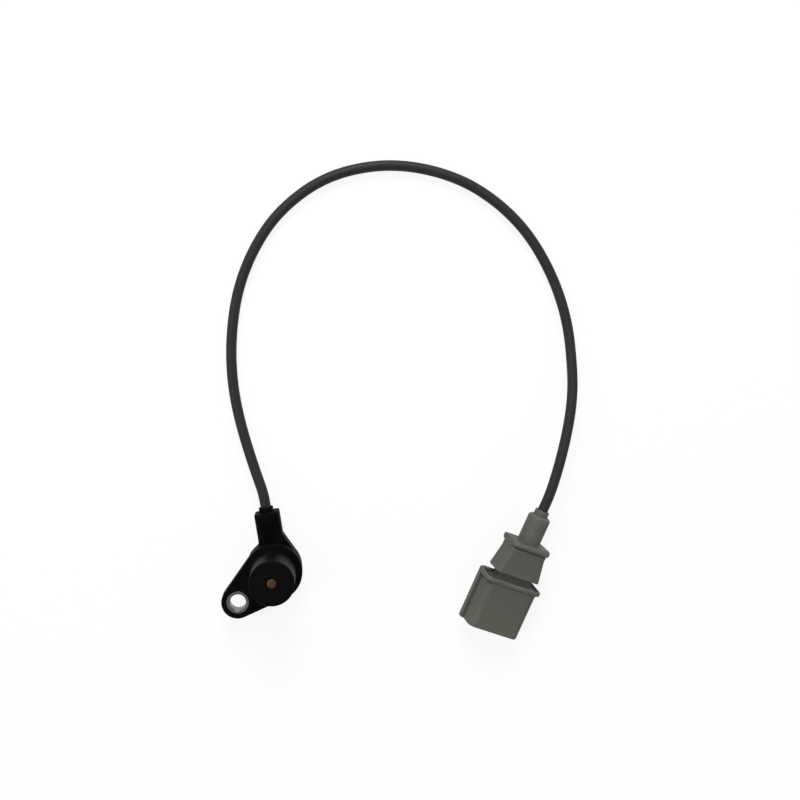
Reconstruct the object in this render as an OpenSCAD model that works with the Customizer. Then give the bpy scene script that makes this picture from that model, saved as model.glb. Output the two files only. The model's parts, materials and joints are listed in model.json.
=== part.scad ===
// Crankshaft position sensor: an inductive pick-up in a moulded head, a short screened lead
// and a three-way plug. Sizes are in millimetres. The nose points along +Z from its seat on the
// engine at z = 0, and +Y is the way the lead leaves the plug, which lies beside the head.

/* [Nose] */
// Diameter of the nose that goes into the engine's bore
nose_d = 18; // [17:0.5:21]
// Length of the nose from the seat to its tip
nose_len = 18.5; // [17:0.5:24]
// Rounding of the tip's edge
nose_edge = 0.9; // [0.3:0.1:1.2]
// Wall round the coil
nose_wall = 1.5; // [1.2:0.1:1.8]
// Wall in front of the coil
tip_wall = 1.5; // [1:0.1:2.5]

/* [Sealing ring] */
// Cord diameter of the sealing ring
ring_cord = 2.2; // [1.8:0.1:2.4]
// How far the ring stands out of the nose
ring_proud = 0.4; // [0.2:0.05:0.6]
// Land between the seat and the ring's groove
ring_land = 1.6; // [1:0.1:2.5]
// Room beside the ring in its groove
ring_side = 0.1; // [0.05:0.05:0.3]

/* [Flange] */
// Diameter of the round part of the flange
flange_d = 23.4; // [22:0.2:28]
// Thickness of the flange
flange_t = 6; // [4:0.5:8]
// Radius of the ear round the fixing hole
ear_r = 6.7; // [5.8:0.1:8]
// Distance from the nose's axis to the fixing hole
hole_pitch = 18.7; // [17:0.1:24]
// Angle from the lead outlet round to the fixing hole
hole_turn = 120.5; // [100:0.5:160]

/* [Bush] */
// Outer diameter of the metal bush in the fixing hole
bush_od = 9; // [8:0.1:10.5]
// Bore of the bush, free for the fixing screw
bush_id = 6.6; // [5.4:0.1:7]
// Chamfer at the ends of the bush's bore
bush_edge = 0.3; // [0.1:0.1:0.5]

/* [Body] */
// Height of the head from its back face to the seat
body_t = 13; // [12:0.5:18]
// Diameter of the body behind the flange
body_d = 23; // [21:0.2:26]
// Chamfer round the back face
body_edge = 0.8; // [0.3:0.1:1.5]
// Direction of the lead outlet, turned from +Y
outlet_turn = 32; // [0:1:60]
// Width of the lead outlet
outlet_w = 10.2; // [9:0.2:12]
// Height of the lead outlet above the back face
outlet_h = 10; // [9:0.2:11]
// Distance from the nose's axis to the outlet's end
outlet_reach = 24; // [21:0.5:30]
// How far the outlet stands to one side of the nose's axis
outlet_shift = 0.8; // [0:0.1:1]
// Rounding of the outlet's long edges at the front
outlet_round = 2.6; // [1:0.1:3.5]
// Rounding of the outlet's long edges at the back
outlet_back_round = 0.8; // [0.3:0.1:1.5]
// Angle of the straight web between the body and the outlet
web_angle = 26; // [20:1:35]
// How far the web stays below the outlet's front
web_drop = 1.6; // [0.5:0.1:3]
// Radius of the hollow corner on the outlet's other side
corner_r = 3; // [1:0.5:6]
// Diameter of the collar round the lead
head_collar_d = 5.9; // [5.4:0.1:8]
// Length of the collar round the lead
head_collar_len = 2; // [1:0.1:4]

/* [Sensing parts] */
// Diameter of the pole pin
pin_d = 4; // [3:0.1:5]
// How far the pin's end lies below the tip
pin_recess = 0.2; // [0.1:0.05:0.5]
// Width of the shallow ring sunk round the pin's end
pin_ring = 0.5; // [0.3:0.1:1]
// Wall of the spool's tube
spool_wall = 1.2; // [0.8:0.1:1.4]
// Thickness of the spool's two flanges
spool_flange = 1.2; // [0.8:0.1:1.5]
// Plastic between the ring's groove and the spool
spool_back_wall = 1.2; // [0.8:0.1:2]
// How far the winding stays inside the flanges' rim
coil_margin = 0.7; // [0.3:0.1:1]
// Diameter of the magnet behind the pin
magnet_d = 7; // [6:0.1:8]
// Length of the magnet
magnet_len = 6; // [4:0.5:8]
// How far the magnet's cup is deep behind the spool before the magnet
cup_floor = 2; // [1:0.1:3]
// Wall of the cup that holds the magnet
cup_wall = 1.4; // [1:0.1:1.5]
// Diameter of a terminal's post
post_d = 1; // [0.8:0.1:1.2]
// Diameter of a terminal's crimp barrel
barrel_d = 1.9; // [1.8:0.05:2.1]
// Length of a terminal's crimp barrel past its post
barrel_len = 4.2; // [3:0.1:5]
// Depth that a core goes into a crimp barrel
core_grip = 3; // [2:0.1:3.5]

/* [Lead] */
// Diameter of the lead
lead_d = 4.3; // [4:0.1:4.8]
// Length of the lead held inside each moulding
lead_grip = 11; // [6:0.5:12]
// Diameter of an insulated core
core_d = 1.4; // [1.2:0.05:1.5]
// Diameter of the bare wire of the screen, between the two cores
drain_d = 1; // [0.8:0.1:1.1]
// Gap between that wire and each core
core_gap = 0.05; // [0.05:0.05:0.15]

/* [Plug] */
// Width of the plug's shroud
plug_w = 22.6; // [20:0.2:26]
// Distance from the plug's axis to its front
plug_front = 5.4; // [5:0.1:7]
// Distance from the plug's axis to its back
plug_back = 5.8; // [5.6:0.1:7]
// Rounding of the shroud's long edges at the front
plug_round = 3; // [1:0.1:4.5]
// Length from the open end to the top of the rim
shroud_len = 22.4; // [20:0.1:28]
// Thickness of the rim at the top of the shroud
rim_t = 1.8; // [1:0.1:2.5]
// How far the rim stands out from the shroud
rim_out = 0.6; // [0.4:0.1:1.5]
// How far each rail stands out from the shroud's side
rail_out = 1; // [0.5:0.1:1.5]
// Thickness of the rails along the back
rail_t = 2.2; // [1.5:0.1:3]
// Width of the bracket groove above the rim
groove_w = 3.1; // [2:0.1:4]
// Width of the neck in the bracket groove
neck_w = 16; // [15:0.2:18]
// Depth of the neck in the bracket groove
neck_h = 7; // [7:0.2:9.5]
// Length of the wedge above the groove
wedge_len = 12; // [9:0.5:15]
// Width of the wedge at the groove
wedge_w = 19.2; // [18:0.2:22]
// Width of the wedge under the lip
wedge_top_w = 15; // [13.6:0.2:17]
// Depth of the wedge
wedge_h = 10.6; // [10:0.2:12]
// Rounding of the wedge's edges
wedge_round = 1.4; // [0.5:0.1:2]
// Width of the lip
lip_w = 16.6; // [16:0.2:20]
// Depth of the lip
lip_h = 13.2; // [12:0.2:15]
// Thickness of the lip
lip_t = 2.6; // [2:0.1:3.5]
// Diameter of the sleeve round the lead
sleeve_d = 9; // [8:0.1:11]
// Length of the sleeve
sleeve_len = 11.5; // [9:0.5:16]
// Radius of the hollow at the sleeve's foot
sleeve_foot = 1; // [0.3:0.1:1.3]
// Chamfer at the sleeve's end
sleeve_edge = 1; // [0.3:0.1:1.5]
// Diameter of the collar at the sleeve's end
plug_collar_d = 5.8; // [5.4:0.1:7]
// Length of the collar at the sleeve's end
plug_collar_len = 2.7; // [1.5:0.1:5]

/* [Socket] */
// Wall of the shroud
shroud_wall = 1.5; // [1.2:0.1:2]
// Depth of the socket
socket_depth = 15; // [13:0.5:17]
// Distance between neighbouring contacts
contact_pitch = 5; // [4.4:0.1:5.4]
// Width of a contact's blade
blade_w = 2.8; // [2:0.1:3.2]
// Thickness of a contact's blade
blade_t = 0.8; // [0.6:0.1:1]
// How far the blades' tips lie inside the socket's mouth
blade_inset = 7; // [5:0.5:9]
// Chamfer of the blades' tips
blade_edge = 0.6; // [0.2:0.1:0.8]
// Width of the block that carries the contacts
carrier_w = 16; // [14.6:0.2:18]
// Depth of the block that carries the contacts
carrier_h = 6; // [4:0.2:7]
// Thickness of the block that carries the contacts
carrier_t = 5; // [4:0.5:6]
// Diameter of a contact's crimp barrel
crimp_d = 2.2; // [2:0.1:2.4]
// Length of a contact's crimp barrel
crimp_len = 4.5; // [3:0.5:6]
// Height of the catch on the plug's back
catch_h = 2; // [1:0.1:2.5]
// Width of the catch
catch_w = 6; // [4:0.5:10]
// Length of the catch, with its ramp towards the open end
catch_len = 7; // [5:0.5:10]
// Distance from the open end to the catch's ramp
catch_from = 5; // [3:0.5:8]

/* [Lying] */
// Place of the middle of the plug's open end, across and along
plug_x = 92.4; // [80:0.1:110]
plug_y = 11; // [0:0.1:20]
// How far the plug lies rolled onto one long edge
plug_roll = 13; // [0:0.5:25]
// How far the plug's lead end is raised
plug_pitch = 4.2; // [0:0.2:10]

/* [Hidden] */
$fn = 64;

// Overlap that keeps a cut clear of the face it opens
cut = 0.5;
// How far the web and the hollow corner run into the body, so that the faces cross cleanly
web_bite = 0.05;

// Nose and what lies in it, from the seat up
nose_r = nose_d / 2;
groove_r = nose_r + ring_proud - ring_cord;
groove_top = ring_land + ring_cord + 2 * ring_side;
pin_end = nose_len - pin_recess;
spool_front = nose_len - tip_wall;
spool_back = groove_top + spool_back_wall;
spool_r = nose_r - nose_wall;
spool_tube_r = pin_d / 2 + spool_wall;
coil_r = spool_r - coil_margin;
cup_r = magnet_d / 2 + cup_wall;
magnet_front = spool_back - cup_floor;
magnet_back = magnet_front - magnet_len;

// Head behind the seat
flange_r = flange_d / 2;
body_r = body_d / 2;
table_z = -body_t;
outlet_axis_z = table_z + outlet_h / 2;
outlet_top_z = table_z + outlet_h;
outlet_left = outlet_shift - outlet_w / 2;
outlet_right = outlet_shift + outlet_w / 2;
head_mouth_y = outlet_reach + head_collar_len;
head_lead_y = head_mouth_y - lead_grip;
post_y = cup_r + post_d;
core_pitch = core_d + drain_d + 2 * core_gap;
barrel_end_y = post_y + barrel_len;

// Plug, along its own axis from the open end
plug_half = plug_w / 2;
rail_half = plug_half + rail_out;
groove_y = shroud_len;
wedge_y = groove_y + groove_w;
lip_y = wedge_y + wedge_len;
sleeve_y = lip_y + lip_t;
plug_collar_y = sleeve_y + sleeve_len;
plug_mouth_y = plug_collar_y + plug_collar_len;
plug_lead_y = plug_mouth_y - lead_grip;
carrier_back = socket_depth + carrier_t;
crimp_end = carrier_back + crimp_len;
socket_w = plug_w - 2 * shroud_wall;
socket_lo = -plug_back + shroud_wall;
socket_hi = plug_front - shroud_wall;

// The plug rests on the end of one rail
plug_z = table_z + (rail_half * sin(plug_roll) + plug_back * cos(plug_roll)) * cos(plug_pitch);

// Points of the lead between its two mouldings: across, along, and the lift above where it lies flat
lead_lift = [
    [-21, 32.5, 2.5], [-28, 40.5, 1.5], [-35, 49, 0.75], [-41.5, 58, 0.25], [-47, 67.5, 0],
    [-51.5, 77.5, 0], [-55, 88, 0], [-57.5, 98.5, 0], [-58.5, 109.5, 0], [-58, 120.5, 0],
    [-56, 131.5, 0], [-52, 141.5, 0], [-46.5, 151, 0], [-39.5, 159, 0], [-30.5, 166, 0],
    [-20.5, 171.5, 0], [-10, 175, 0], [0.5, 177, 0], [11.5, 177.5, 0], [22.5, 176, 0],
    [33, 173, 0], [43, 168.5, 0], [52, 162.5, 0], [60.5, 155.5, 0], [68, 147.5, 0.4],
    [74.6, 138.5, 1.2], [79.6, 129, 2.5], [84.3, 119, 4.5], [87.4, 109, 6.5],
    [89.5, 98.5, 8.2], [91.1, 87.4, 9.8], [92.2, 76.4, 10.5]
];
// Straight stretch of the lead outside each moulding
lead_straight = 6;
lead_sides = 10;

// A point of the head's own frame, with the outlet along +Y, in the part's frame
function head_point(p) = [
    p[0] * cos(outlet_turn) - p[1] * sin(outlet_turn),
    p[0] * sin(outlet_turn) + p[1] * cos(outlet_turn),
    p[2]
];

// A point on the plug's own axis in the part's frame
function plug_axis_point(y) = [plug_x, plug_y + y * cos(plug_pitch), plug_z + y * sin(plug_pitch)];

lead_route = concat(
    [for (y = [head_lead_y, head_mouth_y, head_mouth_y + lead_straight])
        head_point([outlet_shift, y, outlet_axis_z])],
    [for (p = lead_lift) [p[0], p[1], table_z + lead_d / 2 + p[2]]],
    [for (y = [plug_mouth_y + lead_straight, plug_mouth_y, plug_lead_y]) plug_axis_point(y)]
);

function unit(v) = v / norm(v);

// Direction of the lead at point i of its route
function lead_heading(i) =
    unit(lead_route[min(i + 1, len(lead_route) - 1)] - lead_route[max(i - 1, 0)]);

// Point at angle a on the lead's ring i, square to its heading
function lead_ring_point(i, a) =
    let (ahead = lead_heading(i), side = unit(cross(ahead, [0, 0, 1])), up = cross(side, ahead))
    lead_route[i] + lead_d / 2 * (cos(a) * side + sin(a) * up);

// Puts a shape of the head's own frame in its place
module at_head() {
    rotate([0, 0, outlet_turn]) children();
}

// Puts a shape of the plug's own frame in its place: X across, Y towards the lead, Z out of its front
module at_plug() {
    translate([plug_x, plug_y, plug_z]) rotate([plug_pitch, 0, 0]) rotate([0, plug_roll, 0]) children();
}

// Extrudes an outline of X and Z along Y
module along_y(from, length) {
    translate([0, from + length, 0]) rotate([90, 0, 0]) linear_extrude(length) children();
}

// Cylinder along Y
module rod_y(r, from, length) {
    translate([0, from, 0]) rotate([-90, 0, 0]) cylinder(r = r, h = length);
}

// Outline of a bar w wide from lo to hi, with its upper and its lower corners rounded
module bar_outline(w, lo, hi, r_hi, r_lo) {
    polygon([
        [-w / 2, lo + r_lo], [-w / 2 + r_lo, lo], [w / 2 - r_lo, lo], [w / 2, lo + r_lo],
        [w / 2, hi - r_hi], [w / 2 - r_hi, hi], [-w / 2 + r_hi, hi], [-w / 2, hi - r_hi]
    ]);
    for (s = [-1, 1]) {
        translate([s * (w / 2 - r_lo), lo + r_lo]) circle(r_lo);
        translate([s * (w / 2 - r_hi), hi - r_hi]) circle(r_hi);
    }
}

// Plan of a plate that wraps a disc of radius ra and one of radius rb at distance d along +X
module wrapped_discs(ra, rb, d) {
    a = acos((ra - rb) / d);
    circle(ra);
    translate([d, 0]) circle(rb);
    polygon([
        [ra * cos(a), -ra * sin(a)], [d + rb * cos(a), -rb * sin(a)],
        [d + rb * cos(a), rb * sin(a)], [ra * cos(a), ra * sin(a)]
    ]);
}

// Turns +X towards the fixing hole
module to_hole() {
    rotate([0, 0, 90 + hole_turn]) children();
}

// Half section of the nose, with its rounded tip
module nose_section() {
    translate([0, -cut]) square([nose_r, nose_len - nose_edge + cut]);
    translate([0, -cut]) square([nose_r - nose_edge, nose_len + cut]);
    translate([nose_r - nose_edge, nose_len - nose_edge]) circle(nose_edge);
}

// Flange plate: the round seat and the ear
module flange_plate() {
    to_hole() translate([0, 0, -flange_t]) linear_extrude(flange_t) wrapped_discs(flange_r, ear_r, hole_pitch);
}

// Straight web on the right of the outlet, nearly tangent to the body
module web_plan() {
    tangent = (body_r - web_bite) * [cos(web_angle), sin(web_angle)];
    rise = (tangent[0] - outlet_right) / sin(web_angle) * cos(web_angle);
    polygon([[0, 0], tangent, [outlet_right, tangent[1] + rise], [outlet_shift, tangent[1] + rise]]);
}

// Hollow corner on the left of the outlet, tangent to its side and nearly tangent to the body
module corner_plan() {
    reach = body_r - web_bite + corner_r;
    middle = [outlet_left - corner_r, sqrt(pow(reach, 2) - pow(outlet_left - corner_r, 2))];
    touch = middle * (reach - corner_r) / reach;
    difference() {
        polygon([[0, 0], touch, middle, [outlet_left, middle[1]], [outlet_shift, middle[1]]]);
        translate(middle) circle(corner_r);
    }
}

// Body behind the flange, with a chamfered back edge
module body_block() {
    translate([0, 0, table_z]) cylinder(r1 = body_r - body_edge, r2 = body_r, h = body_edge);
    translate([0, 0, table_z + body_edge]) cylinder(r = body_r, h = body_t - flange_t - body_edge + cut);
    translate([0, 0, table_z + body_edge]) linear_extrude(outlet_h - web_drop - body_edge) {
        web_plan();
        corner_plan();
    }
}

// Outlet block for the lead, with its collar
module outlet_block() {
    along_y(0, outlet_reach) translate([outlet_shift, 0])
        bar_outline(outlet_w, table_z, outlet_top_z, outlet_round, outlet_back_round);
    translate([outlet_shift, 0, outlet_axis_z])
        rod_y(head_collar_d / 2, outlet_reach - cut, head_collar_len + cut);
}

// Everything that the head is moulded round
module head_inserts() {
    coil_spool_shape();
    coil_winding_shape();
    for (side = [-1, 1]) {
        coil_terminal_shape(side);
        head_core_shape(side);
    }
    translate([0, 0, magnet_back]) cylinder(d = magnet_d, h = magnet_len);
    cylinder(d = pin_d, h = nose_len + cut);
    translate([outlet_shift, 0, outlet_axis_z]) rod_y(lead_d / 2, head_lead_y, lead_grip + cut);
}

module sensor_housing() {
    color([0.06, 0.06, 0.065]) at_head() difference() {
        union() {
            rotate_extrude() nose_section();
            flange_plate();
            body_block();
            outlet_block();
        }
        translate([0, 0, ring_land]) difference() {
            cylinder(r = nose_r + cut, h = groove_top - ring_land);
            translate([0, 0, -cut]) cylinder(r = groove_r, h = groove_top - ring_land + 2 * cut);
        }
        to_hole() translate([hole_pitch, 0, -flange_t - cut]) cylinder(d = bush_od, h = flange_t + 2 * cut);
        translate([0, 0, pin_end]) cylinder(r = pin_d / 2 + pin_ring, h = pin_recess + cut);
        head_inserts();
    }
}

module mounting_bush() {
    color([0.72, 0.72, 0.7]) at_head() to_hole() translate([hole_pitch, 0, 0]) rotate_extrude() polygon([
        [bush_id / 2 + bush_edge, 0], [bush_od / 2, 0], [bush_od / 2, -flange_t],
        [bush_id / 2 + bush_edge, -flange_t], [bush_id / 2, bush_edge - flange_t], [bush_id / 2, -bush_edge]
    ]);
}

module sealing_ring() {
    color([0.09, 0.09, 0.09]) at_head() translate([0, 0, (ring_land + groove_top) / 2])
        rotate_extrude() translate([groove_r + ring_cord / 2, 0]) circle(d = ring_cord);
}

module pole_pin() {
    color([0.45, 0.3, 0.2]) at_head() translate([0, 0, magnet_front])
        cylinder(d = pin_d, h = pin_end - magnet_front);
}

module magnet() {
    color([0.3, 0.3, 0.32]) at_head() translate([0, 0, magnet_back]) cylinder(d = magnet_d, h = magnet_len);
}

// Spool with the magnet's cup behind it, bored for the pin and the magnet
module coil_spool_shape() {
    rotate_extrude() polygon([
        [pin_d / 2, spool_front], [spool_r, spool_front], [spool_r, spool_front - spool_flange],
        [spool_tube_r, spool_front - spool_flange], [spool_tube_r, spool_back + spool_flange],
        [spool_r, spool_back + spool_flange], [spool_r, spool_back], [cup_r, spool_back], [cup_r, magnet_back],
        [magnet_d / 2, magnet_back], [magnet_d / 2, magnet_front], [pin_d / 2, magnet_front]
    ]);
}

module coil_spool() {
    color([0.75, 0.72, 0.62]) at_head() difference() {
        coil_spool_shape();
        for (side = [-1, 1]) coil_terminal_shape(side);
    }
}

module coil_winding_shape() {
    rotate_extrude() translate([spool_tube_r, spool_back + spool_flange])
        square([coil_r - spool_tube_r, spool_front - spool_back - 2 * spool_flange]);
}

module coil_winding() {
    color([0.65, 0.35, 0.18]) at_head() coil_winding_shape();
}

// Place of one signal core across the lead
function core_x(side) = outlet_shift + side * core_pitch / 2;

// Post through the spool's back flange, with a crimp barrel towards the lead
module coil_terminal_shape(side) {
    translate([core_x(side), post_y, outlet_axis_z])
        cylinder(d = post_d, h = spool_back + spool_flange - outlet_axis_z);
    translate([core_x(side), 0, outlet_axis_z]) difference() {
        rod_y(barrel_d / 2, post_y - barrel_d / 2, barrel_len + barrel_d / 2);
        rod_y(core_d / 2, barrel_end_y - core_grip, core_grip + cut);
    }
}

module coil_terminal_1() {
    color([0.75, 0.6, 0.35]) at_head() coil_terminal_shape(-1);
}

module coil_terminal_2() {
    color([0.75, 0.6, 0.35]) at_head() coil_terminal_shape(1);
}

module head_core_shape(side) {
    translate([core_x(side), 0, outlet_axis_z])
        rod_y(core_d / 2, barrel_end_y - core_grip, head_lead_y - barrel_end_y + core_grip);
}

module head_core_1() {
    color([0.85, 0.85, 0.82]) at_head() head_core_shape(-1);
}

module head_core_2() {
    color([0.2, 0.3, 0.6]) at_head() head_core_shape(1);
}

// Lead swept along its route as one closed tube
module lead() {
    last = len(lead_route) - 1;
    points = [for (i = [0:last], k = [0:lead_sides - 1]) lead_ring_point(i, 360 * k / lead_sides)];
    function corner(i, k) = i * lead_sides + k % lead_sides;
    walls = [for (i = [0:last - 1], k = [0:lead_sides - 1], half = [0, 1])
        half == 0 ? [corner(i, k), corner(i, k + 1), corner(i + 1, k + 1)]
            : [corner(i, k), corner(i + 1, k + 1), corner(i + 1, k)]];
    near = [for (k = [lead_sides - 1:-1:0]) corner(0, k)];
    far = [for (k = [0:lead_sides - 1]) corner(last, k)];
    color([0.2, 0.2, 0.21]) polyhedron(points, concat([near], walls, [far]));
}

// Shroud with the rails along its back
module shroud_outline() {
    bar_outline(plug_w, -plug_back, plug_front, plug_round, shroud_wall);
    translate([-rail_half, -plug_back]) square([2 * rail_half, rail_t]);
}

// Wedge that narrows towards the lip, with its long edges rounded
module wedge_block() {
    slope = (wedge_w - wedge_top_w) / 2 / wedge_len;
    inset = wedge_round * norm([1, slope]);
    wedge_slab(slope, 0, wedge_h - 2 * wedge_round);
    wedge_slab(slope, inset, wedge_h);
    intersection() {
        for (x = [-1, 1], z = [-1, 1])
            translate([x * (wedge_w / 2 - inset), wedge_y, z * (wedge_h / 2 - wedge_round)])
                rotate([0, 0, x * atan(slope)]) rod_y(wedge_round, -wedge_len / 2, 2 * wedge_len);
        translate([-wedge_w / 2, wedge_y, -wedge_h / 2]) cube([wedge_w, wedge_len + cut, wedge_h]);
    }
}

// Tapered slab of the wedge, h deep, with its sides set in and its end inside the lip
module wedge_slab(slope, inset, h) {
    low = wedge_w / 2 - inset;
    high = wedge_top_w / 2 - inset - slope * cut;
    translate([0, 0, -h / 2]) linear_extrude(h)
        polygon([[-low, wedge_y], [low, wedge_y], [high, lip_y + cut], [-high, lip_y + cut]]);
}

// Plate across the plug's axis, t thick from y, with a full round all along its edge
module round_edged_plate(y, w, lo, hi, t) {
    r = t / 2;
    x = w / 2 - r;
    translate([-x, y, lo + r]) cube([2 * x, t, hi - lo - t]);
    for (z = [lo + r, hi - r]) translate([-x, y + r, z]) rotate([0, 90, 0]) cylinder(r = r, h = 2 * x);
    for (side = [-x, x]) translate([side, y + r, lo + r]) {
        cylinder(r = r, h = hi - lo - t);
        for (z = [0, hi - lo - t]) translate([0, 0, z]) sphere(r);
    }
}

// Catch for the mating latch, with its ramp towards the open end
module back_catch() {
    translate([catch_w / 2, catch_from, -plug_back]) rotate([0, -90, 0]) linear_extrude(catch_w)
        polygon([[cut, 0], [0, 0], [-catch_h, catch_len * 0.7], [-catch_h, catch_len], [cut, catch_len]]);
}

module sleeve_turning() {
    r = sleeve_d / 2;
    translate([0, sleeve_y, 0]) rotate([-90, 0, 0]) {
        translate([0, 0, -cut]) cylinder(r = r, h = sleeve_len - sleeve_edge + cut);
        translate([0, 0, sleeve_len - sleeve_edge]) cylinder(r1 = r, r2 = r - sleeve_edge, h = sleeve_edge);
        cylinder(d = plug_collar_d, h = sleeve_len + plug_collar_len);
        rotate_extrude() translate([r, 0]) difference() {
            translate([-cut, -cut]) square(sleeve_foot + cut);
            translate([sleeve_foot, sleeve_foot]) circle(sleeve_foot);
        }
    }
}

// Everything that the plug is moulded round
module plug_inserts() {
    contact_carrier_block();
    for (i = [-1:1]) {
        contact_shape(i);
        plug_core_shape(i);
    }
    rod_y(lead_d / 2, plug_lead_y, lead_grip + cut);
}

module plug_body() {
    color([0.42, 0.42, 0.39]) at_plug() difference() {
        union() {
            along_y(0, shroud_len) shroud_outline();
            round_edged_plate(shroud_len - rim_t, 2 * rail_half, -plug_back, plug_front + rim_out, rim_t);
            along_y(groove_y - cut, groove_w + 2 * cut)
                bar_outline(neck_w, -neck_h / 2, neck_h / 2, wedge_round, wedge_round);
            wedge_block();
            round_edged_plate(lip_y, lip_w, -lip_h / 2, lip_h / 2, lip_t);
            sleeve_turning();
            back_catch();
        }
        along_y(-cut, socket_depth + cut)
            bar_outline(socket_w, socket_lo, socket_hi, plug_round - shroud_wall, shroud_wall / 2);
        plug_inserts();
    }
}

module contact_carrier_block() {
    along_y(socket_depth, carrier_t)
        bar_outline(carrier_w, -carrier_h / 2, carrier_h / 2, wedge_round, wedge_round);
}

module contact_carrier() {
    color([0.12, 0.12, 0.12]) at_plug() difference() {
        contact_carrier_block();
        for (i = [-1:1]) contact_shape(i);
    }
}

// Contact: a blade with a chamfered tip and a crimp barrel behind the carrier
module contact_shape(i) {
    translate([i * contact_pitch, 0, 0]) {
        translate([0, 0, -blade_t / 2]) linear_extrude(blade_t) polygon([
            [-blade_w / 2 + blade_edge, blade_inset], [blade_w / 2 - blade_edge, blade_inset],
            [blade_w / 2, blade_inset + blade_edge], [blade_w / 2, carrier_back + cut],
            [-blade_w / 2, carrier_back + cut], [-blade_w / 2, blade_inset + blade_edge]
        ]);
        difference() {
            rod_y(crimp_d / 2, carrier_back, crimp_len);
            rod_y(plug_core_d(i) / 2, crimp_end - core_grip, core_grip + cut);
        }
    }
}

module contact_1() {
    color([0.8, 0.78, 0.72]) at_plug() contact_shape(-1);
}

module contact_2() {
    color([0.8, 0.78, 0.72]) at_plug() contact_shape(0);
}

module contact_3() {
    color([0.8, 0.78, 0.72]) at_plug() contact_shape(1);
}

// The middle contact takes the screen's wire, the outer two the signal cores
function plug_core_d(i) = i == 0 ? drain_d : core_d;

// Core from its crimp barrel to the cut end of the lead, straight in the middle and slanted at each side
module plug_core_shape(i) {
    if (i == 0) rod_y(drain_d / 2, crimp_end - core_grip, core_grip + plug_lead_y - crimp_end);
    else rotate([0, i > 0 ? 180 : 0, 0]) slanted_core();
}

// Signal core on the side of contact 1, with its slanted run trimmed flush at the lead
module slanted_core() {
    r = core_d / 2;
    run = [contact_pitch - core_pitch / 2, plug_lead_y - crimp_end];
    translate([-contact_pitch, 0, 0]) {
        rod_y(r, crimp_end - core_grip, core_grip);
        translate([0, crimp_end, 0]) sphere(r);
        intersection() {
            translate([0, crimp_end, 0]) rotate([0, 0, -atan2(run[0], run[1])]) rod_y(r, 0, norm(run) + core_d);
            translate([-core_d, crimp_end, -core_d]) cube([contact_pitch + core_d, run[1], 2 * core_d]);
        }
    }
}

module plug_core_1() {
    color([0.85, 0.85, 0.82]) at_plug() plug_core_shape(-1);
}

module plug_core_2() {
    color([0.2, 0.3, 0.6]) at_plug() plug_core_shape(1);
}

module plug_drain() {
    color([0.72, 0.72, 0.7]) at_plug() plug_core_shape(0);
}

sensor_housing();
mounting_bush();
sealing_ring();
pole_pin();
magnet();
coil_spool();
coil_winding();
coil_terminal_1();
coil_terminal_2();
head_core_1();
head_core_2();
lead();
plug_body();
contact_carrier();
contact_1();
contact_2();
contact_3();
plug_core_1();
plug_core_2();
plug_drain();
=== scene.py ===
# %% [markdown]
# # A crankshaft position sensor
#
# An inductive sensor reads the teeth of a wheel on the crankshaft. Its black head sits in the engine
# block, and a short screened lead takes the signal to a grey plug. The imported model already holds
# every rigid piece at its real size. This lesson gives the pieces their looks: first the camera and
# the lead, then the two mouldings as smooth skins, then the metal, the finishes and the light.

# %% Load the frame
import json

import bpy
import numpy as np
from mathutils import Matrix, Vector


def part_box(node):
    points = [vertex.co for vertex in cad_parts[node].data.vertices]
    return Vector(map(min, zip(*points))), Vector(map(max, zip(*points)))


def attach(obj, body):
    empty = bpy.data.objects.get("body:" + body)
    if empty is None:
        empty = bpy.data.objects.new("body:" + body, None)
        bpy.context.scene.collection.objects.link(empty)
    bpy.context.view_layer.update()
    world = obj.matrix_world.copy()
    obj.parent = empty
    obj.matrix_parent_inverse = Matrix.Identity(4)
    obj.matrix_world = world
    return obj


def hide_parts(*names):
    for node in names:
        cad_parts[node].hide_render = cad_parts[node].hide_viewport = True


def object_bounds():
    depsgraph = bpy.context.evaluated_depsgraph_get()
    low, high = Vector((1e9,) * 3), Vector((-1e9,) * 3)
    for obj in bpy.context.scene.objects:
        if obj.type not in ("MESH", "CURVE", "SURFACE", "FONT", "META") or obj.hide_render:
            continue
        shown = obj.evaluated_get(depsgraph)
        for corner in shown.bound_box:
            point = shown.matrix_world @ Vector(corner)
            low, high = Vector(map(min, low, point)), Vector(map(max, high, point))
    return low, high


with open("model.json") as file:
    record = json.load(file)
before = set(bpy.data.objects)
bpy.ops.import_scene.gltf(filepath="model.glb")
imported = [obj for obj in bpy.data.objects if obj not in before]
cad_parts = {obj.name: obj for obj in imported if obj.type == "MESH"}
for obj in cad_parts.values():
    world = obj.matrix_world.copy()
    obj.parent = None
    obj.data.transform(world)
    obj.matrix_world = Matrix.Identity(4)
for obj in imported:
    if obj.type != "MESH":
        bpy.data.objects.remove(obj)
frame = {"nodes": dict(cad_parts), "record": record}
cad_box = [list(corner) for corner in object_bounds()]
mounts = {mount["name"]: mount for mount in frame["record"]["mounts"]}
MM = 0.001
print("CAD box in mm:", np.round(np.array(cad_box) / MM, 1).tolist())

# %% [markdown]
# ## Camera
# The picture looks almost straight down on the sensor as it lies on a table, from about 44 cm. A
# camera can be aimed with a constraint, but its matrix can also be written directly: the columns are
# the picture's right, the picture's up, and the way back from the aim to the eye.

# %% Camera
EYE = np.array([-23.51, 99.06, 424.0]) * MM
AIM = np.array([21.16, 84.30, -13.0]) * MM
PICTURE_UP = np.array([-0.393, 0.9196, 0.0])
LENS_MM = 47.385
SENSOR_MM = 36.0


def unit(vector):
    """The vector divided by its own length."""
    return vector / np.linalg.norm(vector, axis=-1, keepdims=True)


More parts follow.
